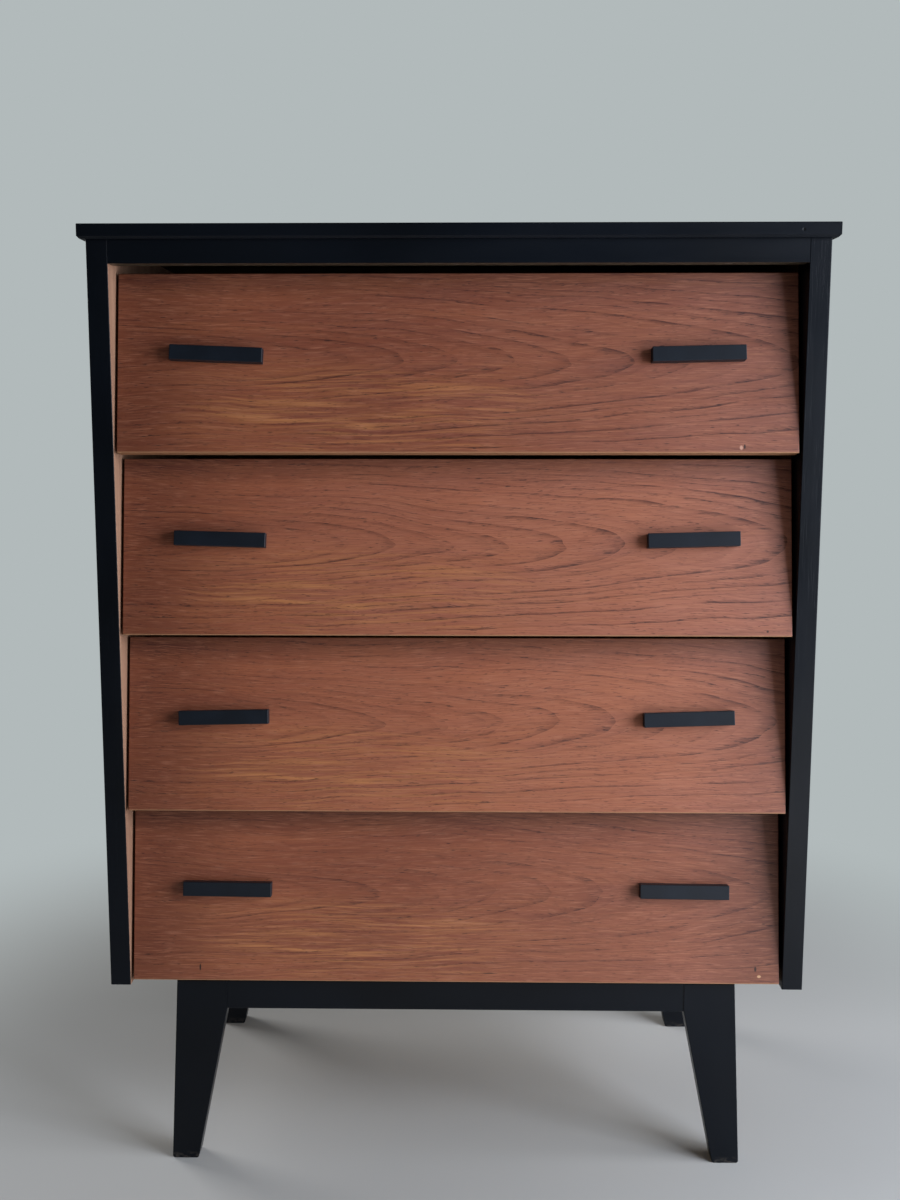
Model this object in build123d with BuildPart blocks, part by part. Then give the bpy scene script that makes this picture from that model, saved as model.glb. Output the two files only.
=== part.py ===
"""Chest of four drawers with leaning louvre fronts, on a splayed-leg base frame.

Frame: X to the right, Y to the rear, Z up. The fronts face -Y. The origin is on the floor,
under the middle of the top board. All sizes are millimetres.
"""
from build123d import *
from math import atan2, cos, hypot, radians, sin, tan
import os

os.makedirs("parts", exist_ok=True)

# ---------------------------------------------------------------- driving dimensions
# Overall
overall_height = 1030.0
carcass_width = 762.0
carcass_depth = 406.0
base_height = 212.0

# Carcass boards
top_thickness = 15.0
top_overhang_side = 7.0
top_overhang_front = 9.0
top_lower_bevel = 2.5
side_thickness = 22.0
bottom_thickness = 15.0
bottom_front_gap = 3.1
housing_depth = 7.0
rail_height = 24.0
rail_depth = 24.0
back_thickness = 4.0
back_recess = 2.0
back_rebate = 10.0
back_fit = 0.5
board_easing = 0.8

# Drawer fronts
drawer_count = 4
front_thickness = 18.0
front_lean = 32.0
front_recess = 1.0
front_side_gap = 3.0
front_gap = 7.5
front_gap_under_rail = 7.0
front_gap_over_base = 5.5
front_easing = 0.8

# Drawer boxes
box_side_gap = 7.0
box_side_thickness = 12.0
box_back_thickness = 10.0
box_back_inset = 12.0
box_back_drop = 6.0
box_rise = 13.0
box_drop = 13.0
box_rear_gap = 10.0
box_bottom_thickness = 4.0
box_bottom_rise = 8.0
box_bottom_groove = 5.0
box_front_housing = 6.0
box_back_housing = 4.0

# Runners, and the grooves in the drawer sides that slide on them
runner_height = 12.0
runner_rise = 96.0
runner_front_gap = 26.0
runner_rear_gap = 12.0
runner_reach = 6.0
groove_play_above = 0.3
groove_play_below = 0.7
groove_play_side = 1.0
groove_play_end = 0.3

# Bar pulls
handle_length = 97.0
handle_height = 15.5
handle_projection = 12.5
handle_easing = 0.6
handle_screw_spacing = 64.0
handle_screw_bite = 8.0
handle_inset = 105.0
handle_rise = 102.0
# The pulls were fitted by hand and sit a little out of level (degrees, anticlockwise), top first
left_handle_tilts = (-2.2, -1.5, 1.2, -0.5)
right_handle_tilts = (1.2, 1.5, 1.8, -0.5)

# Base frame
base_front_inset = 12.0
base_rear_inset = 26.0
leg_inset = 71.0
leg_splay = 10.5
leg_top_width = 55.5
leg_foot_width = 29.5
leg_thickness = 24.0
leg_easing = 1.0
foot_rounding = 3.0
apron_height = 32.5
apron_thickness = 22.0
apron_step = 1.0
corner_block_size = 46.0
corner_block_height = 26.0
block_screw_inset = 14.0

# Fasteners (radii and lengths)
wood_screw_radius = 2.0
wood_screw_head_radius = 4.0
wood_screw_head_angle = 90.0
screw_bite = 10.0
screw_end_gap = 18.0
top_screw_inset = 80.0
machine_screw_radius = 2.0
machine_screw_head_radius = 4.0
machine_screw_head_height = 2.4
machine_screw_head_rounding = 0.8
pin_radius = 0.9
pin_head_radius = 2.2
pin_head_height = 0.8
pin_bite = 8.0
pin_spacing = 130.0
pin_end_gap = 20.0
fastener_fit = 0.1
slot_width = 0.9
slot_depth = 1.0

# ---------------------------------------------------------------- derived levels and planes
half_width = carcass_width / 2
inner_half = half_width - side_thickness
front_y = (top_overhang_front - carcass_depth) / 2
rear_y = front_y + carcass_depth
back_y = rear_y - back_recess - back_thickness

top_z = overall_height - top_thickness
rail_z = top_z - rail_height

# Four equal fronts fill the space between the base and the rail
front_space = rail_z - front_gap_under_rail - base_height - front_gap_over_base
front_rise = (front_space - (drawer_count - 1) * front_gap) / drawer_count
drawer_pitch = front_rise + front_gap
lean = atan2(front_lean, front_rise)
front_slant = hypot(front_lean, front_rise)
front_half = inner_half - front_side_gap

box_half = inner_half - box_side_gap
box_inner_half = box_half - box_side_thickness
box_rear_y = back_y - box_rear_gap
runner_end_y = back_y - runner_rear_gap
runner_width = box_side_gap + runner_reach

leg_top_out = half_width - leg_inset
leg_foot_out = leg_top_out + leg_splay
leg_top_in = leg_top_out - leg_top_width
leg_foot_in = leg_foot_out - leg_foot_width
knee_z = base_height - apron_height
base_front_y = front_y + base_front_inset
base_rear_y = rear_y - base_rear_inset


def drawer_level(number):
    """Height of the lower edge of a drawer's face. Drawer 1 is the top one."""
    return rail_z - front_gap_under_rail - front_rise - (number - 1) * drawer_pitch


def face_plane(level):
    """Plane of a drawer's leaning face: origin mid lower edge, X right, Y up the face."""
    outward = (0, -cos(lean), sin(lean))
    return Plane(origin=(0, front_y + front_recess, level), x_dir=(1, 0, 0), z_dir=outward)


def behind_face(height, depth):
    """Y of a point at a height above the face's lower edge, at a depth square to the face."""
    return front_y + front_recess + height * tan(lean) + depth / cos(lean)


def facing_front(y):
    """Upright plane at y, seen from the front: X right, Y up."""
    return Plane.XZ.offset(-y)


def save(piece, name):
    """Label a finished piece and write it as its own STEP file."""
    piece.part.label = name
    export_step(piece.part, f"parts/{name}.step")


# ---------------------------------------------------------------- fasteners
def countersunk_screw(length):
    """Slotted countersunk wood screw, head face at the origin, point towards -Z."""
    cone = wood_screw_head_radius - wood_screw_radius
    with BuildPart() as screw:
        with BuildSketch(Plane.XZ):
            with BuildLine():
                Polyline(
                    (0, 0),
                    (wood_screw_head_radius, 0),
                    (wood_screw_radius, -cone),
                    (wood_screw_radius, wood_screw_radius - length),
                    (0, -length),
                    close=True,
                )
            make_face()
        revolve(axis=Axis.Z)
        with Locations((0, 0, -slot_depth / 2)):
            Box(2 * wood_screw_head_radius, slot_width, slot_depth, mode=Mode.SUBTRACT)
    return screw.part


def pan_head_screw(length):
    """Slotted pan-head machine screw, underside of the head at the origin, shank along +Z."""
    with BuildPart() as screw:
        Cylinder(
            machine_screw_head_radius,
            machine_screw_head_height,
            align=(Align.CENTER, Align.CENTER, Align.MAX),
        )
        fillet(screw.edges().sort_by(Axis.Z)[0], machine_screw_head_rounding)
        Cylinder(machine_screw_radius, length, align=(Align.CENTER, Align.CENTER, Align.MIN))
        with Locations((0, 0, slot_depth / 2 - machine_screw_head_height)):
            Box(2 * machine_screw_head_radius, slot_width, slot_depth, mode=Mode.SUBTRACT)
    return screw.part


def back_pin():
    """Flat-headed pin, underside of the head at the origin, point towards -Z."""
    pin_length = back_thickness + pin_bite
    with BuildPart() as pin:
        Cylinder(pin_head_radius, pin_head_height, align=(Align.CENTER, Align.CENTER, Align.MIN))
        Cylinder(pin_radius, pin_length, align=(Align.CENTER, Align.CENTER, Align.MAX))
    return pin.part


def spread(low, high, spacing):
    """Evenly spaced positions from low to high, no further apart than the spacing."""
    gaps = max(1, round((high - low) / spacing))
    return [low + (high - low) * step / gaps for step in range(gaps + 1)]


# The bottom panel and the runners start clear of the backs of the leaning fronts
lowest_back_y = behind_face(bottom_thickness - front_gap_over_base, front_thickness)
bottom_front_y = lowest_back_y + bottom_front_gap
runner_start_y = behind_face(runner_rise, front_thickness) + runner_front_gap

# Pins go in from behind, round the edge of the back panel
pin_side_x = inner_half + back_rebate / 2
pin_low_z = base_height + bottom_thickness / 2
pin_high_z = rail_z + rail_height / 2
pin_levels = spread(base_height + bottom_thickness + pin_end_gap, pin_high_z, pin_spacing)
pin_columns = spread(-pin_side_x, pin_side_x, pin_spacing)
side_pin_places = [(x, z) for x in (-pin_side_x, pin_side_x) for z in pin_levels]
edge_pin_places = [(x, z) for x in pin_columns[1:-1] for z in (pin_low_z, pin_high_z)]
pin_plane = Plane(origin=(0, rear_y - back_recess, 0), x_dir=(-1, 0, 0), z_dir=(0, 1, 0))

# Three screws go up through each rail into the top
top_screw_columns = spread(top_screw_inset - inner_half, inner_half - top_screw_inset, inner_half)
front_rail_y = front_y + rail_depth / 2
back_rail_y = back_y - rail_depth / 2
rail_plane = Plane(origin=(0, 0, rail_z), x_dir=(1, 0, 0), z_dir=(0, 0, -1))

# Each corner block is screwed up into the bottom panel
side_apron_out = leg_top_out - apron_step
side_apron_in = side_apron_out - apron_thickness
block_front_y = base_front_y + leg_thickness
block_rear_y = base_rear_y - leg_thickness
block_plane = Plane(
    origin=(0, 0, base_height - corner_block_height), x_dir=(1, 0, 0), z_dir=(0, 0, -1)
)
block_screw_x = side_apron_in - block_screw_inset
block_screw_places = [
    (x, -y)
    for x in (-block_screw_x, block_screw_x)
    for y in (block_front_y + block_screw_inset, block_rear_y - block_screw_inset)
]

# Two screws hold each runner to its side panel
runner_screw_places = [
    (y, drawer_level(number) + runner_rise)
    for number in range(1, drawer_count + 1)
    for y in (runner_start_y + screw_end_gap, runner_end_y - screw_end_gap)
]

# ---------------------------------------------------------------- carcass
with BuildPart() as bottom_panel:
    with BuildSketch(Plane.XY.offset(base_height)):
        with Locations((0, (bottom_front_y + back_y) / 2)):
            Rectangle(2 * (inner_half + housing_depth), back_y - bottom_front_y)
    extrude(amount=bottom_thickness)
    with Locations(block_plane.offset(-corner_block_height)):
        with Locations(*block_screw_places):
            Hole(wood_screw_radius + fastener_fit, depth=screw_bite + fastener_fit)
    with Locations(pin_plane.offset(-back_thickness)):
        with Locations(*[(x, z) for x, z in edge_pin_places if z == pin_low_z]):
            Hole(pin_radius + fastener_fit, depth=pin_bite + fastener_fit)
save(bottom_panel, "bottom_panel")

with BuildPart() as right_side:
    with BuildSketch(Plane.XY.offset(base_height)):
        with Locations((half_width, front_y)):
            Rectangle(side_thickness, carcass_depth, align=(Align.MAX, Align.MIN))
    extrude(amount=top_z - base_height)
    fillet(right_side.edges().filter_by(Axis.Z).group_by(Axis.Y)[0], board_easing)
    # Rebate for the back panel
    with BuildSketch(Plane.XY.offset(base_height)):
        with Locations((inner_half, rear_y)):
            Rectangle(back_rebate, back_thickness + back_recess, align=(Align.MIN, Align.MAX))
    extrude(amount=top_z - base_height, mode=Mode.SUBTRACT)
    # Housing for the bottom panel
    add(bottom_panel.part, mode=Mode.SUBTRACT)
    with Locations(pin_plane.offset(-back_thickness)):
        with Locations(*[(x, z) for x, z in side_pin_places if x < 0]):
            Hole(pin_radius + fastener_fit, depth=pin_bite + fastener_fit)
    with Locations(Plane(origin=(inner_half, 0, 0), x_dir=(0, 1, 0), z_dir=(-1, 0, 0))):
        with Locations(*[(y, -z) for y, z in runner_screw_places]):
            Hole(wood_screw_radius + fastener_fit, depth=screw_bite + fastener_fit)
save(right_side, "right_side_panel")

with BuildPart() as left_side:
    mirror(right_side.part, about=Plane.YZ)
save(left_side, "left_side_panel")

with BuildPart() as top_board:
    with BuildSketch(Plane.XY.offset(top_z)):
        with Locations((0, rear_y)):
            Rectangle(
                carcass_width + 2 * top_overhang_side,
                carcass_depth + top_overhang_front,
                align=(Align.CENTER, Align.MAX),
            )
    extrude(amount=top_thickness)
    # The underside is bevelled at the front and the ends, the upper edges are only eased
    lower_edges = top_board.faces().sort_by(Axis.Z)[0].edges().sort_by(Axis.Y)[:-1]
    chamfer(lower_edges, top_lower_bevel)
    fillet(top_board.faces().sort_by(Axis.Z)[-1].edges(), board_easing)
    with Locations(rail_plane.offset(-rail_height)):
        with Locations(*[(x, -y) for x in top_screw_columns for y in (front_rail_y, back_rail_y)]):
            Hole(wood_screw_radius + fastener_fit, depth=screw_bite + fastener_fit)
save(top_board, "top_board")


def top_rail(middle_y):
    """Rail between the side panels, screwed up to the top board."""
    with BuildPart() as rail:
        with BuildSketch(Plane.XY.offset(rail_z)):
            with Locations((0, middle_y)):
                Rectangle(2 * inner_half, rail_depth)
        extrude(amount=rail_height)
        with Locations(rail_plane):
            with Locations(*[(x, -middle_y) for x in top_screw_columns]):
                CounterSinkHole(
                    wood_screw_radius + fastener_fit,
                    wood_screw_head_radius + fastener_fit,
                    counter_sink_angle=wood_screw_head_angle,
                )
    return rail


top_front_rail = top_rail(front_rail_y)
save(top_front_rail, "top_front_rail")

top_back_rail = top_rail(back_rail_y)
with BuildPart() as top_back_rail_pinned:
    add(top_back_rail.part)
    with Locations(pin_plane.offset(-back_thickness)):
        with Locations(*[(x, z) for x, z in edge_pin_places if z == pin_high_z]):
            Hole(pin_radius + fastener_fit, depth=pin_bite + fastener_fit)
save(top_back_rail_pinned, "top_back_rail")

with BuildPart() as back_panel:
    with BuildSketch(pin_plane):
        with Locations((0, base_height)):
            Rectangle(
                2 * (inner_half + back_rebate - back_fit),
                top_z - base_height,
                align=(Align.CENTER, Align.MIN),
            )
    extrude(amount=-back_thickness)
    with Locations(pin_plane):
        with Locations(*side_pin_places, *edge_pin_places):
            Hole(pin_radius + fastener_fit)
save(back_panel, "back_panel")

pin = back_pin()
with BuildPart(pin_plane) as back_pins:
    with Locations(*side_pin_places, *edge_pin_places):
        add(pin)
save(back_pins, "back_pins")

top_screw = countersunk_screw(rail_height + screw_bite)
with BuildPart(rail_plane) as top_screws:
    with Locations(*[(x, -y) for x in top_screw_columns for y in (front_rail_y, back_rail_y)]):
        add(top_screw)
save(top_screws, "top_screws")

# ---------------------------------------------------------------- drawer runners
runner_face = Plane(origin=(inner_half - runner_width, 0, 0), x_dir=(0, 1, 0), z_dir=(-1, 0, 0))
for number in range(1, drawer_count + 1):
    runner_z = drawer_level(number) + runner_rise
    with BuildPart() as runner_right:
        with BuildSketch(Plane.YZ.offset(inner_half - runner_width)):
            with Locations((runner_start_y, runner_z)):
                Rectangle(
                    runner_end_y - runner_start_y, runner_height, align=(Align.MIN, Align.CENTER)
                )
        extrude(amount=runner_width)
        fillet(runner_right.edges().filter_by(Axis.Y).group_by(Axis.X)[0], board_easing)
        with Locations(runner_face):
            with Locations(*[(y, -z) for y, z in runner_screw_places if z == runner_z]):
                CounterSinkHole(
                    wood_screw_radius + fastener_fit,
                    wood_screw_head_radius + fastener_fit,
                    counter_sink_angle=wood_screw_head_angle,
                )
    save(runner_right, f"runner_right_{number}")
    with BuildPart() as runner_left:
        mirror(runner_right.part, about=Plane.YZ)
    save(runner_left, f"runner_left_{number}")

runner_screw = countersunk_screw(runner_width + screw_bite)
with BuildPart() as runner_screws:
    with Locations(runner_face):
        with Locations(*[(y, -z) for y, z in runner_screw_places]):
            add(runner_screw)
    mirror(runner_screws.part, about=Plane.YZ)
save(runner_screws, "runner_screws")


# ---------------------------------------------------------------- base frame
def right_leg(face_y):
    """Tapered leg whose outer edge splays outwards, cut from a flat board."""
    with BuildPart() as leg:
        with BuildSketch(facing_front(face_y)):
            with BuildLine():
                Polyline(
                    (leg_top_in, base_height),
                    (leg_top_out, base_height),
                    (leg_foot_out, 0),
                    (leg_foot_in, 0),
                    (leg_top_in, knee_z),
                    close=True,
                )
            make_face()
        extrude(amount=-leg_thickness)
        fillet(leg.edges().filter_by(Axis.Y).group_by(Axis.Z)[0], foot_rounding)
        upright = leg.edges().filter_by(lambda edge: edge.length > base_height / 2)
        fillet(upright, leg_easing)
    return leg


for end, face_y in (("front", base_front_y), ("rear", base_rear_y - leg_thickness)):
    leg_right = right_leg(face_y)
    save(leg_right, f"leg_{end}_right")
    with BuildPart() as leg_left:
        mirror(leg_right.part, about=Plane.YZ)
    save(leg_left, f"leg_{end}_left")

for end, face_y in (
    ("front", base_front_y + apron_step),
    ("rear", base_rear_y - apron_step - apron_thickness),
):
    with BuildPart() as cross_apron:
        with BuildSketch(facing_front(face_y)):
            with Locations((0, base_height)):
                Rectangle(2 * leg_top_in, apron_height, align=(Align.CENTER, Align.MAX))
        extrude(amount=-apron_thickness)
        fillet(cross_apron.edges().filter_by(Axis.X).group_by(Axis.Z)[0], board_easing)
    save(cross_apron, f"apron_{end}")

with BuildPart() as apron_right:
    with BuildSketch(Plane.YZ.offset(side_apron_in)):
        with Locations(((block_front_y + block_rear_y) / 2, base_height)):
            Rectangle(block_rear_y - block_front_y, apron_height, align=(Align.CENTER, Align.MAX))
    extrude(amount=apron_thickness)
    fillet(apron_right.edges().filter_by(Axis.Y).group_by(Axis.Z)[0], board_easing)
save(apron_right, "apron_right")

with BuildPart() as apron_left:
    mirror(apron_right.part, about=Plane.YZ)
save(apron_left, "apron_left")

with BuildPart() as corner_blocks:
    with BuildSketch(block_plane):
        for side_x in (-1, 1):
            for corner_y, inward in ((block_front_y, 1), (block_rear_y, -1)):
                with BuildLine():
                    Polyline(
                        (side_x * side_apron_in, -corner_y),
                        (side_x * (side_apron_in - corner_block_size), -corner_y),
                        (side_x * side_apron_in, -corner_y - inward * corner_block_size),
                        close=True,
                    )
                make_face()
    extrude(amount=-corner_block_height)
    with Locations(block_plane):
        with Locations(*block_screw_places):
            CounterSinkHole(
                wood_screw_radius + fastener_fit,
                wood_screw_head_radius + fastener_fit,
                counter_sink_angle=wood_screw_head_angle,
            )
save(corner_blocks, "corner_blocks")

base_screw = countersunk_screw(corner_block_height + screw_bite)
with BuildPart(block_plane) as base_screws:
    with Locations(*block_screw_places):
        add(base_screw)
save(base_screws, "base_screws")

# ---------------------------------------------------------------- drawers
handle_screw = pan_head_screw(front_thickness + handle_screw_bite)


def handle_plane(level, side_x, tilt):
    """Plane on a drawer's face at the middle of one pull, turned by its tilt."""
    face = face_plane(level)
    middle = face.from_local_coords((side_x * (front_half - handle_inset), handle_rise))
    along = face.x_dir * cos(radians(tilt)) + face.y_dir * sin(radians(tilt))
    return Plane(origin=middle, x_dir=along, z_dir=face.z_dir)


def bar_pull(place):
    """Solid square-edged bar, flat on the front, held by two screws from inside the drawer."""
    with BuildPart() as handle:
        with BuildSketch(place):
            Rectangle(handle_length, handle_height)
        extrude(amount=handle_projection)
        fillet(handle.edges(), handle_easing)
        # Blind screw holes, from the bar's back face
        with Locations(place):
            with GridLocations(handle_screw_spacing, 0, 2, 1):
                Hole(machine_screw_radius + fastener_fit, depth=handle_screw_bite + fastener_fit)
    return handle


for number in range(1, drawer_count + 1):
    level = drawer_level(number)
    box_low = level + box_rise
    box_high = level + front_rise - box_drop
    bottom_low = box_low + box_bottom_rise
    bottom_high = bottom_low + box_bottom_thickness
    tilt_index = (number - 1) % len(left_handle_tilts)
    left_place = handle_plane(level, -1, left_handle_tilts[tilt_index])
    right_place = handle_plane(level, 1, right_handle_tilts[tilt_index])

    # The bottom slides in from the rear, in grooves in the sides and the front
    groove_end_y = behind_face(bottom_low - level, front_thickness) - box_bottom_groove
    with BuildPart() as drawer_bottom:
        with BuildSketch(Plane.XY.offset(bottom_low)):
            with Locations((0, groove_end_y)):
                Rectangle(
                    2 * (box_inner_half + box_bottom_groove),
                    box_rear_y - groove_end_y,
                    align=(Align.CENTER, Align.MIN),
                )
        extrude(amount=box_bottom_thickness)
    save(drawer_bottom, f"drawer_bottom_{number}")

    with BuildPart() as drawer_back:
        with BuildSketch(facing_front(box_rear_y - box_back_inset)):
            with Locations((0, bottom_high)):
                Rectangle(
                    2 * (box_inner_half + box_back_housing),
                    box_high - box_back_drop - bottom_high,
                    align=(Align.CENTER, Align.MIN),
                )
        extrude(amount=box_back_thickness)
    save(drawer_back, f"drawer_back_{number}")

    # The sides' front ends follow the lean and are housed in the front
    housed = front_thickness - box_front_housing
    groove_low = level + runner_rise - runner_height / 2 - groove_play_below
    groove_high = level + runner_rise + runner_height / 2 + groove_play_above
    groove_start_y = runner_start_y - groove_play_end
    with BuildPart() as drawer_side_right:
        with BuildSketch(Plane.YZ.offset(box_inner_half)):
            with BuildLine():
                Polyline(
                    (behind_face(box_low - level, housed), box_low),
                    (box_rear_y, box_low),
                    (box_rear_y, box_high),
                    (behind_face(box_high - level, housed), box_high),
                    close=True,
                )
            make_face()
        extrude(amount=box_side_thickness)
        add(drawer_bottom.part, mode=Mode.SUBTRACT)
        add(drawer_back.part, mode=Mode.SUBTRACT)
        with BuildSketch(Plane.YZ.offset(box_half - runner_reach - groove_play_side)):
            with Locations((groove_start_y, groove_low)):
                Rectangle(
                    box_rear_y - groove_start_y,
                    groove_high - groove_low,
                    align=(Align.MIN, Align.MIN),
                )
        extrude(amount=runner_reach + groove_play_side, mode=Mode.SUBTRACT)
    save(drawer_side_right, f"drawer_side_right_{number}")

    with BuildPart() as drawer_side_left:
        mirror(drawer_side_right.part, about=Plane.YZ)
    save(drawer_side_left, f"drawer_side_left_{number}")

    with BuildPart() as drawer_front:
        with BuildSketch(face_plane(level)):
            Rectangle(2 * front_half, front_slant, align=(Align.CENTER, Align.MIN))
        extrude(amount=-front_thickness)
        fillet(drawer_front.edges(), front_easing)
        add(drawer_side_right.part, mode=Mode.SUBTRACT)
        add(drawer_side_left.part, mode=Mode.SUBTRACT)
        add(drawer_bottom.part, mode=Mode.SUBTRACT)
        with Locations(left_place, right_place):
            with GridLocations(handle_screw_spacing, 0, 2, 1):
                Hole(machine_screw_radius + fastener_fit, depth=front_thickness)
    save(drawer_front, f"drawer_front_{number}")

    save(bar_pull(left_place), f"handle_left_{number}")
    save(bar_pull(right_place), f"handle_right_{number}")

    with BuildPart() as handle_screws:
        with Locations(left_place.offset(-front_thickness), right_place.offset(-front_thickness)):
            with GridLocations(handle_screw_spacing, 0, 2, 1):
                add(handle_screw)
    save(handle_screws, f"handle_screws_{number}")
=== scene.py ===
"""Chest of four louvred drawers: finishes, floor, light and camera round the finished CAD frame.

Every pattern is drawn in millimetres on the Object coordinates of the piece it belongs to.
"""
from math import atan2

import bpy
from mathutils import Matrix, Vector


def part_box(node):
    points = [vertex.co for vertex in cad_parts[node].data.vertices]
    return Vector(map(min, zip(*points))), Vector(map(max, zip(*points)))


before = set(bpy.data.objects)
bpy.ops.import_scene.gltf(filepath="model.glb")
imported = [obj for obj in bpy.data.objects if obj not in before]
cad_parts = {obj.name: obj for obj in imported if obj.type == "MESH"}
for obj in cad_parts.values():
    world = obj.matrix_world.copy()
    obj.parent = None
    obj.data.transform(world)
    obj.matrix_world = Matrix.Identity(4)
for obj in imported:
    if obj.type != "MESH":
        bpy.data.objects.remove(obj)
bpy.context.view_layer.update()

MM = 1000.0  # millimetres in a metre
X, Y, Z = 0, 1, 2
DRAWERS = (1, 2, 3, 4)


# ---------------------------------------------------------------- small helpers
def linear(code):
    """Linear RGBA of an sRGB hex colour."""
    parts = [int(code[place : place + 2], 16) / 255 for place in (1, 3, 5)]
    return (*[c / 12.92 if c <= 0.04045 else ((c + 0.055) / 1.055) ** 2.4 for c in parts], 1.0)


def add(tree, kind, inputs=(), **settings):
    """Adds a node with its settings. Inputs, in order or by name, take a node, an output or a value."""
    node = tree.nodes.new("ShaderNode" + kind)
    for name, value in settings.items():
        setattr(node, name, value)
    sockets = [socket for socket in node.inputs if socket.enabled]
    named = {socket.name: socket for socket in reversed(sockets)}
    pairs = inputs.items() if isinstance(inputs, dict) else enumerate(inputs)
    for key, value in pairs:
        socket = named[key] if isinstance(key, str) else sockets[key]
        if isinstance(value, bpy.types.Node):
            value = next(output for output in value.outputs if output.enabled)
        if isinstance(value, bpy.types.NodeSocket):
            tree.links.new(value, socket)
        else:
            socket.default_value = value
    return node


def new_material(name):
    """An empty node material, and the place on its piece in millimetres."""
    made = bpy.data.materials.new(name)
    made.use_nodes = True
    tree = made.node_tree
    tree.nodes.clear()
    where = add(tree, "TexCoord").outputs["Object"]
    return made, tree, add(tree, "Mapping", {"Vector": where, "Scale": (MM, MM, MM)})


def close_material(tree, colour, roughness, height, depth, **fixed):
    """Joins colour, roughness and relief (its depth in millimetres) to the surface shader."""
    bump = add(tree, "Bump", {"Height": height, "Distance": depth / MM})
    inputs = {"Base Color": colour, "Roughness": roughness, "Normal": bump}
    inputs.update({name.replace("_", " "): value for name, value in fixed.items()})
    shader = add(tree, "BsdfPrincipled", inputs)
    add(tree, "OutputMaterial", {"Surface": shader})


def lumps(tree, place, size, shift=0.0, detail=2.0):
    """Soft random figure, its lumps as many millimetres long on each axis as size says."""
    scale = [1 / length for length in size]
    moved = add(tree, "Mapping", {"Vector": place, "Scale": scale, "Location": (shift, shift, shift)})
    return add(tree, "TexNoise", {"Vector": moved, "Scale": 1.0, "Detail": detail})


def lengthwise(axis, length, width):
    """Lump size that is long on one axis and narrow on the other two."""
    return [length if index == axis else width for index in (X, Y, Z)]


def apply_finish(made, *names):
    """Gives CAD nodes a material in their own slots."""
    for name in names:
        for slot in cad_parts[name].material_slots:
            slot.material = made


# ---------------------------------------------------------------- teak fronts
RING_WIDTH = 5.2  # growth of the tree in one year
PITH_DEPTH = 41.0  # how far the middle of the leaf was cut from the heart of the log
PITH_TAPER = 0.088  # the log tapers, so the cut runs out through the rings
LEAF_THICKNESS = 0.6  # each front's veneer is the next slice off the same log


def leaf_place(tree, name, leaf):
    """Millimetres on a front: X along it, Y into it, Z up its leaning face, zero at its middle."""
    face = max(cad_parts[name].data.polygons, key=lambda polygon: polygon.area)
    normal = face.normal if face.normal.y < 0 else -face.normal
    lean = atan2(normal.z, -normal.y)
    low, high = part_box(name)
    middle = Matrix.Rotation(lean, 3, "X") @ ((low + high) / 2 * MM)
    where = add(tree, "TexCoord").outputs["Object"]
    location = Vector((0, leaf * LEAF_THICKNESS, 0)) - middle
    return add(
        tree,
        "Mapping",
        {"Vector": where, "Location": location, "Rotation": (lean, 0, 0), "Scale": (MM, MM, MM)},
    )


def bend(tree, place, size, reach, shift):
    """Pushes the place about by a soft random amount, reach millimetres on each axis."""
    push = lumps(tree, place, size, shift, detail=1.0).outputs["Color"]
    centred = add(tree, "VectorMath", (push, (0.5, 0.5, 0.5)), operation="SUBTRACT")
    return add(tree, "VectorMath", (centred, reach, place), operation="MULTIPLY_ADD")


def ring_lines(tree, along, across, heart, ring_width, sharpness, leaf):
    """Dark late-wood lines of a crown cut: arches open to the left, each year of its own strength."""
    off = add(tree, "Math", (across, heart), operation="SUBTRACT")
    start = PITH_DEPTH + leaf * LEAF_THICKNESS
    deep = add(tree, "Math", (along, PITH_TAPER, start), operation="MULTIPLY_ADD")
    radius = add(tree, "VectorMath", (add(tree, "CombineXYZ", (off, deep)),), operation="LENGTH")
    year = add(tree, "Math", (radius, ring_width), operation="DIVIDE")
    part = add(tree, "Math", (year,), operation="FRACT")
    number = add(tree, "Math", (year,), operation="FLOOR")
    strength = add(tree, "TexWhiteNoise", (number,), noise_dimensions="1D").outputs["Value"]
    line = add(tree, "Math", (part, sharpness), operation="POWER")
    line = add(tree, "Math", (line, strength), operation="MULTIPLY")
    # The knife meets the rings almost flat at the tips of the arches, so they are wide and faint
    tip = add(tree, "MapRange", (add(tree, "Math", (off,), operation="ABSOLUTE"), 0.0, 13.0, 0.4, 1.0))
    return add(tree, "Math", (line, tip), operation="MULTIPLY")


def spot(tree, place, u, v, width, height):
    """One knock on a front: 1 in its middle, 0 from its edge on."""
    shifted = add(tree, "Mapping", {"Vector": place, "Location": (-u, 0, -v)})
    flat = add(tree, "VectorMath", (shifted, (2 / width, 0, 2 / height)), operation="MULTIPLY")
    size = add(tree, "VectorMath", (flat,), operation="LENGTH")
    return add(tree, "MapRange", (size, 1.0, 0.6))


# Knocks on the fronts: drawer, along, up the face, width, height, colour
KNOCKS = (
    (1, 296.0, -89.0, 4.0, 5.5, "#b98a74"),
    (1, 299.5, -88.0, 2.5, 6.0, "#2a1710"),
    (2, 330.0, -89.0, 3.0, 3.0, "#3a2016"),
    (4, -282.0, -80.0, 2.2, 9.0, "#2a1710"),
    (4, 330.0, -78.0, 3.0, 7.0, "#2e1a12"),
    (4, 334.0, -86.0, 5.0, 3.5, "#b98f69"),
)


# For each front: the tone its middle drifts to, mostly painted light and shade, how far, how much
# the painted shadow of the side panel darkens its right end, and the strength of its year lines
LEAF_LIGHT_AND_LINES = {
    1: ("#5e3022", 0.27, 0.45, 1.25),
    2: ("#ab6a4f", 0.42, 0.15, 1.25),
    3: ("#ac6849", 0.42, 0.35, 0.95),
    4: ("#6b3014", 0.36, 0.9, 0.8),
}


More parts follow.
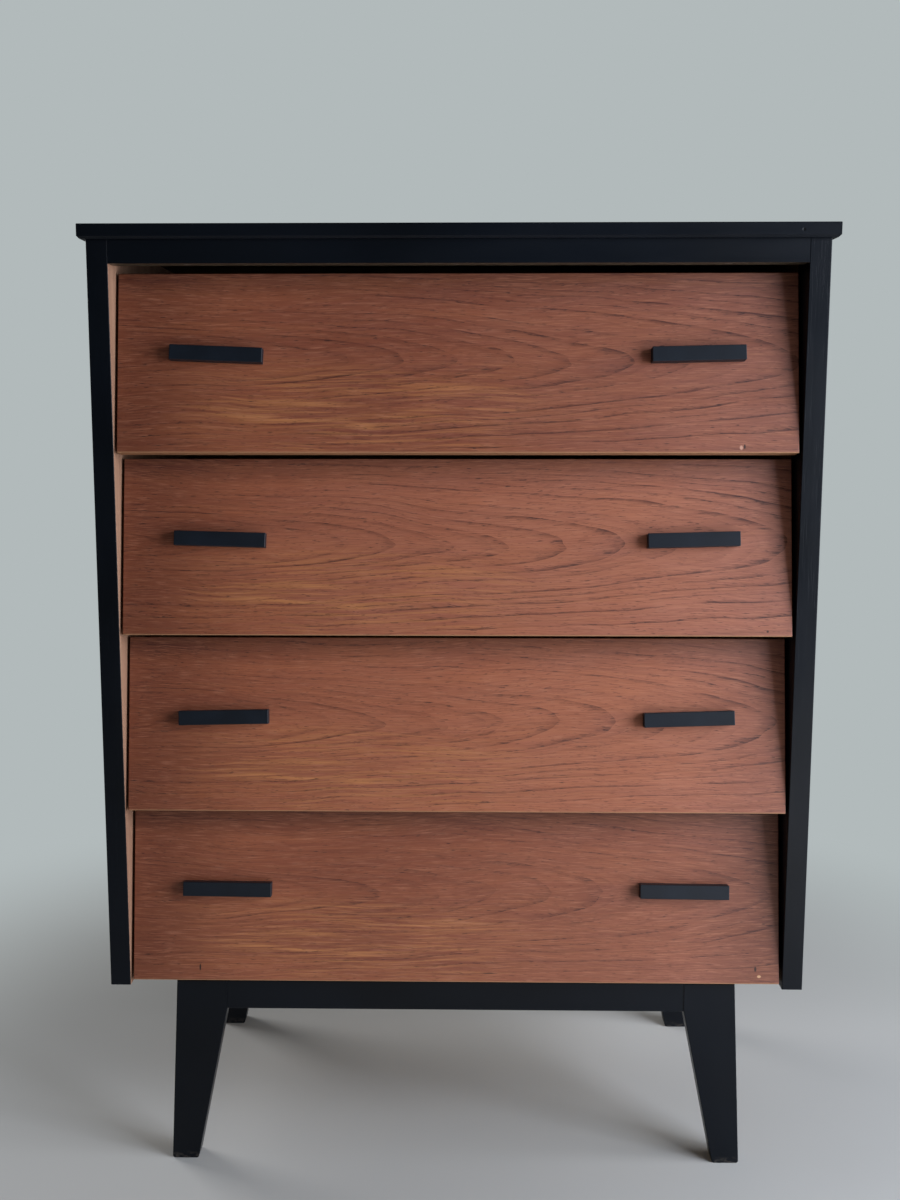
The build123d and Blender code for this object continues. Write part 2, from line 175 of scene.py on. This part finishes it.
def teak_veneer(drawer):
    """Crown-cut teak veneer, sliced and matched, sanded and oiled.

    The eye gets nested arches of thin dark rings, a golden and red-brown ground that drifts from band
    to band, short dark pores along the grain, and a satin oil sheen that breaks up on the pores.
    """
    name = f"drawer_front_{drawer}"
    made, tree, _ = new_material(f"oiled teak veneer, crown cut, leaf {drawer}")
    place = leaf_place(tree, name, drawer)
    wide = bend(tree, place, (230, 30, 70), (46, 0, 26), 3.0 + 0.2 * drawer)
    wavy = bend(tree, wide, (64, 6, 11), (12, 0, 4.2), 7.0)
    split = add(tree, "SeparateXYZ", (wavy,))
    along, across = split.outputs["X"], split.outputs["Z"]
    flat = add(tree, "SeparateXYZ", (place,))
    u, v = flat.outputs["X"], flat.outputs["Z"]

    # Ground colour: red-brown, with painted shade darkening the left end and a painted sheen greying it
    # towards the window at the right
    broad = lumps(tree, wide, (300, 12, 24), 1.7)
    ground = add(tree, "MapRange", (broad, 0.36, 0.66))
    base = add(tree, "Mix", (ground, linear("#864833"), linear("#9b583b")), data_type="RGBA")
    # Painted shade: the left end, away from the window, drifts darker
    dull = add(tree, "MapRange", (u, -200.0, -350.0, 0.0, 0.75), interpolation_type="SMOOTHSTEP")
    base = add(tree, "Mix", (dull, base, linear("#62301e")), data_type="RGBA")
    # Painted sheen: the face greys towards the window at the right
    painted_sheen = add(tree, "MapRange", (u, -60.0, 340.0, 0.0, 0.5))
    base = add(tree, "Mix", (painted_sheen, base, linear("#966455")), data_type="RGBA")
    tone, reach, right_shadow, strength = LEAF_LIGHT_AND_LINES[drawer]
    # Mostly painted light and shade: each front's middle drifts brighter or darker with its height in
    # the window's light
    middle = add(tree, "Math", (spot(tree, place, 60, 0, 640, 400), reach), operation="MULTIPLY")
    base = add(tree, "Mix", (middle, base, linear(tone)), data_type="RGBA")
    # Painted shadow of the right side panel darkens each front's right end
    dull = add(tree, "MapRange", (u, 240.0, 350.0, 0.0, right_shadow), interpolation_type="SMOOTHSTEP")
    base = add(tree, "Mix", (dull, base, linear("#5e3022")), data_type="RGBA")

    # Painted shade along the top edge, where the front above shades it
    painted_top_shade = add(tree, "MapRange", (v, 58.0, 94.0, 0.0, 0.6), interpolation_type="SMOOTHSTEP")
    base = add(tree, "Mix", (painted_top_shade, base, linear("#3a1d14")), data_type="RGBA")

    # Golden strands, thick on the ground low down on the left, rare elsewhere
    left = add(tree, "MapRange", (u, 210.0, -140.0), interpolation_type="SMOOTHSTEP")
    low = add(tree, "MapRange", (v, 12.0, -36.0), interpolation_type="SMOOTHSTEP")
    corner = add(tree, "Math", (left, low), operation="MULTIPLY")
    lowest = add(tree, "MapRange", (v, -62.0, -92.0, 1.0, 0.4))
    corner = add(tree, "Math", (corner, lowest), operation="MULTIPLY")
    inward = add(tree, "MapRange", (u, -330.0, -190.0), interpolation_type="SMOOTHSTEP")
    corner = add(tree, "Math", (corner, inward), operation="MULTIPLY")
    glow = add(tree, "MapRange", (lumps(tree, wide, (120, 12, 16), 9.5), 0.42, 0.6, 0.35, 1.0))
    corner = add(tree, "Math", (corner, glow), operation="MULTIPLY")
    thick = add(tree, "MapRange", (corner, 0.0, 1.0, 0.1, 1.0))
    strands = lumps(tree, wavy, (90, 12, 2.6), 5.5, detail=4.0)
    bright = add(tree, "MapRange", (strands, 0.4, 0.66))
    golden = add(tree, "Math", (bright, thick), operation="MULTIPLY")
    base = add(tree, "Mix", (golden, base, linear("#ba7949")), data_type="RGBA")
    fibre = lumps(tree, wavy, (55, 4, 1.1), 4.0, detail=4.0)
    fine = add(tree, "MapRange", (fibre, 0.36, 0.7, 0.0, 0.4))
    base = add(tree, "Mix", (fine, base, linear("#683825")), data_type="RGBA")

    silk = add(tree, "MapRange", (lumps(tree, wavy, (20, 3, 0.8), 8.5), 0.52, 0.7, 0.0, 0.35))
    base = add(tree, "Mix", (silk, base, linear("#b67a5e")), data_type="RGBA")

    # Rings: the year lines are broken along their length, and finer lines run between them
    years = ring_lines(tree, along, across, 4.0, RING_WIDTH, 4.6, drawer)
    between = ring_lines(tree, along, across, 4.0, RING_WIDTH / 2.3, 2.0, drawer)
    broken = add(tree, "MapRange", (lumps(tree, wavy, (75, 5, 5), 2.0), 0.36, 0.6, 0.1, 1.0))
    toward = add(tree, "MapRange", (u, -330.0, 180.0, 0.4 * strength, strength))
    lines = add(tree, "Math", (years, broken), operation="MULTIPLY")
    lines = add(tree, "Math", (lines, toward), operation="MULTIPLY")
    faint = add(tree, "Math", (between, 0.25, lines), operation="MULTIPLY_ADD", use_clamp=True)
    colour = add(tree, "Mix", (faint, base, linear("#431b11")), data_type="RGBA")

    # Pores are 0.2 mm wide; they are drawn 0.6 mm wide so that they show
    dashes = lumps(tree, wavy, (9, 3, 0.6), 5.0, detail=1.0)
    rare = add(tree, "MapRange", (lines, 0.0, 0.35, 0.65, 0.52))
    over = add(tree, "Math", (dashes, rare), operation="SUBTRACT")
    pores = add(tree, "MapRange", (over, 0.0, 0.1, 0.0, 0.75))
    colour = add(tree, "Mix", (pores, colour, linear("#2c110a")), data_type="RGBA")

    # The face is paler along its lowest edge
    pale_lower_edge = add(tree, "MapRange", (v, -93.0, -93.7, 0.0, 0.75))
    colour = add(tree, "Mix", (pale_lower_edge, colour, linear("#a47955")), data_type="RGBA")
    for knock, at_u, at_v, width, height, tint in KNOCKS:
        if knock == drawer:
            mark = spot(tree, place, at_u, at_v, width, height)
            colour = add(tree, "Mix", (mark, colour, linear(tint)), data_type="RGBA")

    relief = add(tree, "Math", (pores, -0.8, fibre), operation="MULTIPLY_ADD")
    rough = add(tree, "MapRange", (lumps(tree, place, (60, 20, 18), 6.0), 0.3, 0.7, 0.4, 0.5))
    rough = add(tree, "Math", (pores, 0.2, rough), operation="MULTIPLY_ADD")
    close_material(tree, colour, rough, relief, 0.05, IOR=1.47)
    apply_finish(made, name)


# ---------------------------------------------------------------- paint
PAINT_IOR = 1.28  # well rubbed down, so it shines less than fresh paint


def paint_colour(tree, place, axis):
    """Ebony-black satin paint, rubbed and brushed: colour, roughness and relief."""
    cloud = add(tree, "MapRange", (lumps(tree, place, (150, 150, 150), 2.0), 0.3, 0.7))
    colour = add(tree, "Mix", (cloud, linear("#04070c"), linear("#080d14")), data_type="RGBA")
    # Brush marks are 0.5 mm apart; they are drawn 1.8 mm apart so that they show
    brush = lumps(tree, place, lengthwise(axis, 160, 1.8), 1.0, detail=3.0)
    grain = lumps(tree, place, lengthwise(axis, 30, 0.9), 6.0, detail=1.0)
    pits = add(tree, "MapRange", (grain, 0.62, 0.72, 0.0, 0.7))
    relief = add(tree, "Math", (pits, -1.0, brush), operation="MULTIPLY_ADD")
    smear = lumps(tree, place, lengthwise(axis, 120, 26), 8.0)
    rough = add(tree, "MapRange", (smear, 0.3, 0.7, 0.33, 0.4))
    return colour, rough, relief


def black_paint(axis, names, feet=False):
    """Timber painted black by brush, two coats, satin.

    The eye gets a deep, slightly blue black, long soft brush marks that stretch the highlights along
    each board, and the pores of the wood showing as tiny pits.
    """
    made, tree, place = new_material(f"black satin paint, brushed along {'XYZ'[axis]}")
    colour, rough, relief = paint_colour(tree, place, axis)
    if feet:
        # The last few millimetres of the feet are scuffed by the floor and the mop
        height = add(tree, "SeparateXYZ", (place,)).outputs["Z"]
        low = add(tree, "MapRange", (height, 9.0, 1.0))
        rubbed = add(tree, "MapRange", (lumps(tree, place, (5, 5, 3), 3.0), 0.48, 0.62, 0.0, 0.6))
        scuff = add(tree, "Math", (low, rubbed), operation="MULTIPLY")
        colour = add(tree, "Mix", (scuff, colour, linear("#4c4640")), data_type="RGBA")
    close_material(tree, colour, rough, relief, 0.03, IOR=PAINT_IOR)
    apply_finish(made, *names)


def top_board_paint():
    """Black satin paint on the top board, with a filled nail hole in its front edge."""
    made, tree, place = new_material("black satin paint, brushed, top board")
    colour, rough, relief = paint_colour(tree, place, X)
    low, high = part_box("top_board")
    hole = Vector((high.x * MM - 38, low.y * MM, (low.z + high.z) / 2 * MM))
    gap = add(tree, "VectorMath", (place, hole), operation="DISTANCE")
    dark = add(tree, "MapRange", (gap, 1.9, 1.2))
    colour = add(tree, "Mix", (dark, colour, linear("#020202")), data_type="RGBA")
    relief = add(tree, "Math", (dark, -6.0, relief), operation="MULTIPLY_ADD")
    close_material(tree, colour, rough, relief, 0.03, IOR=PAINT_IOR)
    apply_finish(made, "top_board")


# ---------------------------------------------------------------- bare timber and board
def timber_colour(tree, place, axis, pale, dark, pore, ring=11.0):
    """Planed timber with its grain along one axis: colour and relief."""
    bands = lumps(tree, place, lengthwise(axis, 420, ring), 2.0)
    tone = add(tree, "MapRange", (bands, 0.38, 0.62))
    fibre = lumps(tree, place, lengthwise(axis, 80, 1.5), 5.0, detail=3.0)
    mixed = add(tree, "Math", (fibre, tone), operation="MULTIPLY")
    colour = add(tree, "Mix", (mixed, linear(pale), linear(dark)), data_type="RGBA")
    # Pores and flecks are drawn 0.8 mm wide so that they show
    flecks = lumps(tree, place, lengthwise(axis, 9, 0.8), 8.0, detail=1.0)
    marks = add(tree, "MapRange", (flecks, 0.62, 0.74, 0.0, 0.6))
    colour = add(tree, "Mix", (marks, colour, linear(pore)), data_type="RGBA")
    relief = add(tree, "Math", (marks, -0.8, fibre), operation="MULTIPLY_ADD")
    return colour, relief


def timber(name, axis, pale, dark, pore, names, ring=11.0, roughness=0.6):
    """Planed timber, bare or thinly sealed: long bands of tone, fine fibre and short pores."""
    made, tree, place = new_material(f"{name}, grain along {'XYZ'[axis]}")
    colour, relief = timber_colour(tree, place, axis, pale, dark, pore, ring)
    worn = lumps(tree, place, (70, 70, 70), 11.0)
    rough = add(tree, "MapRange", (worn, 0.3, 0.7, roughness - 0.06, roughness + 0.08))
    close_material(tree, colour, rough, relief, 0.06, IOR=1.5)
    apply_finish(made, *names)


def side_panel(name, painted_depth):
    """Side board: satin black outside and on its edges, bare ramin inside from painted_depth back.

    The eye gets the black outside with upright brush marks, and a warm bare inner face that shows
    as slim wedges beside the leaning fronts.
    """
    made, tree, place = new_material(f"black satin paint and bare ramin, {name}")
    colour, rough, relief = paint_colour(tree, place, Z)
    bare, bare_relief = timber_colour(tree, place, Z, "#9e7a62", "#825d4a", "#614436", 16.0)
    low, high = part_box(name)
    inner = min(abs(low.x), abs(high.x)) * MM
    split = add(tree, "SeparateXYZ", (place,))
    side = add(tree, "Math", (split.outputs["X"],), operation="ABSOLUTE")
    inside = add(tree, "MapRange", (side, inner + 9.0, inner + 8.4))
    wobble = lumps(tree, place, (40, 6, 6), 4.0)
    edge = add(tree, "Math", (wobble, 1.4, split.outputs["Y"]), operation="MULTIPLY_ADD")
    start = low.y * MM + painted_depth + 0.7
    behind = add(tree, "MapRange", (edge, start, start + 0.5))
    # The rebated rear edge and the inner face are bare; the outside and the front edge are not
    mask = add(tree, "Math", (inside, behind), operation="MULTIPLY")
    colour = add(tree, "Mix", (mask, colour, bare), data_type="RGBA")
    rough = add(tree, "Mix", (mask, rough, 0.62))
    relief = add(tree, "Mix", (mask, relief, bare_relief))
    close_material(tree, colour, rough, relief, 0.04, IOR=PAINT_IOR)
    apply_finish(made, name)


def front_rail():
    """Top front rail: black on its face, bare underneath, in dark tones that are painted shade."""
    made, tree, place = new_material("black satin paint over a bare underside, front rail")
    colour, rough, relief = paint_colour(tree, place, X)
    # The underside's dark tones are painted shade under the rail
    bare, _ = timber_colour(tree, place, X, "#4e4436", "#3f352a", "#2a2119")
    split = add(tree, "SeparateXYZ", (place,))
    low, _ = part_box("top_front_rail")
    under = add(tree, "MapRange", (split.outputs["Z"], low.z * MM + 0.5, low.z * MM + 0.2))
    back = low.y * MM + 1.0
    behind = add(tree, "MapRange", (split.outputs["Y"], back, back + 0.5))
    mask = add(tree, "Math", (under, behind), operation="MULTIPLY")
    colour = add(tree, "Mix", (mask, colour, bare), data_type="RGBA")
    close_material(tree, colour, rough, relief, 0.03, IOR=PAINT_IOR)
    apply_finish(made, "top_front_rail")


def plywood(name, axis, names):
    """Birch plywood, rotary-cut: pale wavy face figure, and dark and light plies on its edges."""
    made, tree, place = new_material(name)
    wide = bend(tree, place, (160, 90, 30), (30, 30, 0), 3.0)
    face, relief = timber_colour(tree, wide, axis, "#c9a67b", "#b08a5f", "#8a6846", 24.0)
    split = add(tree, "SeparateXYZ", (place,))
    ply = add(tree, "Math", (split.outputs["Z"], 2.6), operation="PINGPONG")
    layers = add(tree, "MapRange", (ply, 1.1, 1.5))
    edge = add(tree, "Mix", (layers, linear("#c7a67d"), linear("#7d5c3e")), data_type="RGBA")
    facing = add(tree, "SeparateXYZ", (add(tree, "TexCoord").outputs["Normal"],)).outputs["Z"]
    upright = add(tree, "Math", (facing,), operation="ABSOLUTE")
    level = add(tree, "MapRange", (upright, 0.4, 0.6))
    colour = add(tree, "Mix", (level, edge, face), data_type="RGBA")
    rough = add(tree, "MapRange", (lumps(tree, place, (90, 90, 90), 5.0), 0.3, 0.7, 0.52, 0.66))
    close_material(tree, colour, rough, relief, 0.05, IOR=1.5)
    apply_finish(made, *names)


def hardboard():
    """Hardboard back, pressed smooth on the outer side: brown, with fine pressed fibre and dust."""
    made, tree, place = new_material("tempered hardboard, pressed smooth")
    fibre = lumps(tree, place, (2.2, 2.2, 2.2), 1.0, detail=4.0)
    cloud = lumps(tree, place, (110, 110, 110), 6.0)
    both = add(tree, "Math", (fibre, cloud), operation="ADD")
    tone = add(tree, "MapRange", (both, 0.6, 1.4))
    colour = add(tree, "Mix", (tone, linear("#5d3f29"), linear("#86623f")), data_type="RGBA")
    strands = lumps(tree, place, (9, 2, 1.1), 9.0, detail=2.0)
    pale = add(tree, "MapRange", (strands, 0.66, 0.78, 0.0, 0.45))
    colour = add(tree, "Mix", (pale, colour, linear("#a98559")), data_type="RGBA")
    rough = add(tree, "MapRange", (cloud, 0.3, 0.7, 0.44, 0.58))
    close_material(tree, colour, rough, fibre, 0.03, IOR=1.5)
    apply_finish(made, "back_panel")


# ---------------------------------------------------------------- metal
def powder_coat(names):
    """Die-cast zinc pulls, black powder coat: even matt black with a very fine orange-peel skin."""
    made, tree, place = new_material("black powder coat on die-cast zinc")
    # The skin's dimples are 0.4 mm across; they are drawn 1.1 mm across so that they show
    peel = lumps(tree, place, (1.1, 1.1, 1.1), 2.0, detail=2.0)
    cloud = add(tree, "MapRange", (lumps(tree, place, (30, 30, 30), 5.0), 0.3, 0.7))
    colour = add(tree, "Mix", (cloud, linear("#0a1018"), linear("#101720")), data_type="RGBA")
    rough = add(tree, "MapRange", (peel, 0.3, 0.7, 0.42, 0.54))
    close_material(tree, colour, rough, peel, 0.03, IOR=1.36)
    apply_finish(made, *names)


def plated_steel(name, dark, bright, rough_low, names):
    """Turned steel with a thin plated coat: dull bright heads, blotched by age, finely scratched."""
    made, tree, place = new_material(name)
    age = add(tree, "MapRange", (lumps(tree, place, (3, 3, 3), 1.0, detail=3.0), 0.35, 0.7))
    colour = add(tree, "Mix", (age, linear(bright), linear(dark)), data_type="RGBA")
    turned = lumps(tree, place, (0.7, 4, 0.7), 7.0)
    rough = add(tree, "MapRange", (age, 0.0, 1.0, rough_low, rough_low + 0.25))
    close_material(tree, colour, rough, turned, 0.01, Metallic=1.0)
    apply_finish(made, *names)


# ---------------------------------------------------------------- stage, light and camera
def floor():
    """Plain pale studio floor that runs into the wall's own tone a metre behind the chest."""
    made, tree, place = new_material("matt studio floor paint")
    flat = add(tree, "VectorMath", (place, (1, 1, 0)), operation="MULTIPLY")
    away = add(tree, "VectorMath", (flat,), operation="LENGTH")
    far = add(tree, "MapRange", (away, 480.0, 1250.0), interpolation_type="SMOOTHSTEP")
    near = lumps(tree, place, (420, 420, 420), 4.0)
    tone = add(tree, "MapRange", (near, 0.3, 0.7))
    paint = add(tree, "Mix", (tone, linear("#bbb9b4"), linear("#c1bfba")), data_type="RGBA")
    speckle = add(tree, "Bump", {"Height": lumps(tree, place, (3, 3, 3), 8.0), "Distance": 0.02 / MM})
    matt = {"Base Color": paint, "Roughness": 0.55, "Normal": speckle}
    shader = add(tree, "BsdfPrincipled", matt)
    glow = add(tree, "Emission", {"Color": linear("#b2babb")})
    seen = add(tree, "Math", (far, add(tree, "LightPath")), operation="MULTIPLY")
    add(tree, "OutputMaterial", {"Surface": add(tree, "MixShader", (seen, shader, glow))})
    bpy.ops.mesh.primitive_circle_add(vertices=96, radius=9.0, fill_type="NGON")
    ground = bpy.context.object
    ground.name = "studio_floor"
    ground.data.materials.append(made)


def backdrop():
    """World: a pale cool wall for the camera, and a dim even fill for everything else."""
    world = bpy.data.worlds.new("studio")
    bpy.context.scene.world = world
    world.use_nodes = True
    tree = world.node_tree
    tree.nodes.clear()
    seen = add(tree, "LightPath").outputs["Is Camera Ray"]
    fill, wall = linear("#505457"), linear("#b2babb")
    colour = add(tree, "Mix", (seen, fill, wall), data_type="RGBA")
    add(tree, "OutputWorld", {"Surface": add(tree, "Background", {"Color": colour})})


def soft_box(name, place, target, width, height, power, tint):
    """One soft rectangular light, out of the camera's sight."""
    data = bpy.data.lights.new(name, "AREA")
    data.shape = "RECTANGLE"
    data.size, data.size_y = width, height
    data.energy = power
    data.color = linear(tint)[:3]
    lamp = bpy.data.objects.new(name, data)
    bpy.context.scene.collection.objects.link(lamp)
    lamp.location = place
    lamp.rotation_euler = (Vector(target) - Vector(place)).to_track_quat("-Z", "Y").to_euler()
    lamp.visible_camera = False


def lights():
    """Tall window at the right, its light off the floor, and a weak light behind for the back."""
    soft_box("window", (1.4, -1.2, 0.85), (0.0, -0.2, 0.55), 0.8, 1.3, 35.0, "#e6efff")
    soft_box("window side", (1.75, -0.6, 0.85), (0.0, -0.2, 0.55), 0.9, 1.3, 28.0, "#eef4ff")
    soft_box("floor bounce", (0.4, -1.3, 0.12), (0.0, -0.2, 0.5), 1.6, 0.3, 2.6, "#fffaf2")
    soft_box("rear fill", (-2.0, 1.3, 1.7), (0.0, 0.1, 0.5), 1.2, 1.4, 30.0, "#fbfcff")


def camera():
    """Standing in front of the chest, a little above its middle, looking slightly down."""
    focal, shift_x, shift_y = 40.67, 0.0178, 0.0054
    back, height, pitch, yaw = 1.4218, 0.8382, 0.1412, 0.0183
    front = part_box("left_side_panel")[0].y
    data = bpy.data.cameras.new("camera")
    data.lens, data.sensor_width = focal, 36.0
    data.shift_x, data.shift_y = shift_x, shift_y
    view = bpy.data.objects.new("camera", data)
    bpy.context.scene.collection.objects.link(view)
    view.location = (-0.003, front - back, height)
    quarter_turn = 1.5707963
    view.rotation_euler = (quarter_turn - pitch, 0, yaw)
    bpy.context.scene.camera = view
    bpy.context.scene.view_settings.view_transform = "Standard"


# ---------------------------------------------------------------- the chest
def carcass():
    """Painted case, bare inside, with its runners and back."""
    top_board_paint()
    front_rail()
    side_panel("left_side_panel", 0.4)
    side_panel("right_side_panel", 46.0)
    timber("pine", X, "#cfa873", "#b58450", "#8a5f38", ["top_back_rail"], 14.0)
    timber("pine block", Y, "#c9a06c", "#a97c4b", "#85603b", ["corner_blocks"], 9.0)
    runners = [f"runner_{side}_{n}" for side in ("left", "right") for n in DRAWERS]
    timber("waxed beech", Y, "#c39468", "#a87750", "#7e5537", runners, 8.0, 0.42)
    plywood("birch plywood, carcass bottom", X, ["bottom_panel"])
    hardboard()


def base():
    """Painted frame and legs."""
    black_paint(X, ["apron_front", "apron_rear"])
    black_paint(Y, ["apron_left", "apron_right"])
    legs = [f"leg_{end}_{side}" for end in ("front", "rear") for side in ("left", "right")]
    black_paint(Z, legs, feet=True)


def drawers():
    """Teak fronts, plain boxes and black pulls."""
    for drawer in DRAWERS:
        teak_veneer(drawer)
    sides = [f"drawer_side_{side}_{n}" for side in ("left", "right") for n in DRAWERS]
    timber("sealed ramin", Y, "#b89a76", "#9f8160", "#775c43", sides, 10.0, 0.5)
    backs = [f"drawer_back_{n}" for n in DRAWERS]
    timber("sealed ramin", X, "#b69874", "#9c7d5c", "#775c43", backs, 10.0, 0.5)
    plywood("birch plywood, drawer bottoms", Y, [f"drawer_bottom_{n}" for n in DRAWERS])
    powder_coat([f"handle_{side}_{n}" for side in ("left", "right") for n in DRAWERS])


def fasteners():
    """Screws and pins."""
    screws = ["top_screws", "runner_screws", "base_screws"]
    plated_steel("zinc-plated steel, aged", "#6f6a5e", "#b5b2a6", 0.34, screws)
    pull_screws = [f"handle_screws_{n}" for n in DRAWERS]
    plated_steel("bright nickel-plated steel", "#8c887e", "#c4c1b8", 0.24, pull_screws)
    plated_steel("blued steel pins", "#2b2c30", "#54565b", 0.38, ["back_pins"])


carcass()
base()
drawers()
fasteners()
floor()
backdrop()
lights()
camera()
